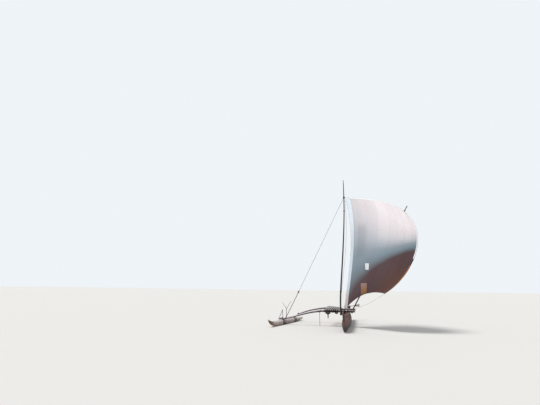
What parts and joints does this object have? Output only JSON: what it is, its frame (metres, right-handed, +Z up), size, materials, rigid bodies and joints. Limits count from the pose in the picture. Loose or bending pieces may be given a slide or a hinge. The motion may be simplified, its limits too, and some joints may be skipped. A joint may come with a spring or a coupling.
{
  "type": "outrigger sailing canoe",
  "caption": "Beached sailing canoe: dugout log hull with sewn plank sides, arched pole booms to a log float, mast and sprit with a bellied square-headed sail, steering oar.",
  "frame": {"origin": "on the ground under the middle of the log hull, at the centre of its worn flat keel", "axes": "+Z up, +Y along the hull away from the picture's camera, +X to lee; the outrigger is on -X"},
  "size_m": [9.9849, 10.8562, 10.908],
  "materials": {
    "log_wood": "weathered dark log, tarred and scuffed",
    "plank_wood": "red-brown oiled planks, worn at the edges",
    "boom_wood": "sun-bleached pole, darker underneath",
    "float_wood": "bleached light log, olive-brown at its near tip",
    "pale_pole": "peeled pale poles",
    "dark_spar": "near-black tarred spar",
    "coir_rope": "dark coconut-fibre rope",
    "sail_cloth": "cotton cloth, pale above and tanned maroon-brown below"
  },
  "bodies": {
    "hull": {"log_fore_end": "log_wood", "log_fore": "log_wood", "log_middle": "log_wood", "log_aft": "log_wood", "log_aft_end": "log_wood", "strake_lower_windward": "plank_wood", "strake_lower_lee": "plank_wood", "strake_upper_windward": "plank_wood", "strake_upper_lee": "plank_wood", "seam_battens": "coir_rope", "rail_windward": "plank_wood", "rail_lee": "plank_wood", "thwarts": "pale_pole", "stem_fore": "log_wood", "stem_aft": "log_wood", "boom_fore": "boom_wood", "boom_aft": "boom_wood", "hull_lashings": "coir_rope", "outrigger_float": "float_wood", "float_lashings": "coir_rope", "rack_poles": "pale_pole", "crutch_sticks": "boom_wood", "prop_stick": "boom_wood", "mast_step": "log_wood", "sprit_step": "log_wood", "thole_blocks": "log_wood", "thole_pins": "dark_spar", "stay_block": "dark_spar", "stay_lanyard": "coir_rope"},
    "rig": {"mast": "dark_spar", "mast_truck": "dark_spar", "mast_lashings": "coir_rope", "windward_stay": "coir_rope", "sprit": "dark_spar", "peak_lashing": "coir_rope", "sail": "sail_cloth"},
    "steering_oar": {"oar_loom": "dark_spar", "oar_blade": "pale_pole", "oar_cheek": "log_wood"}
  },
  "joints": [
    {"name": "rig_cant", "type": "hinge", "parent": "hull", "child": "rig", "pos_m": [-0.35, -1.365, 0.962], "axis": [0.28, 0.96, 0.0032], "range_deg": [-6, 6], "deforming": ["windward_stay"]},
    {"name": "oar_sweep", "type": "hinge", "parent": "hull", "child": "steering_oar", "pos_m": [0.11648, 3.6, 1.14911], "axis": [0, 0, -1], "range_deg": [-15, 30]}
  ]
}
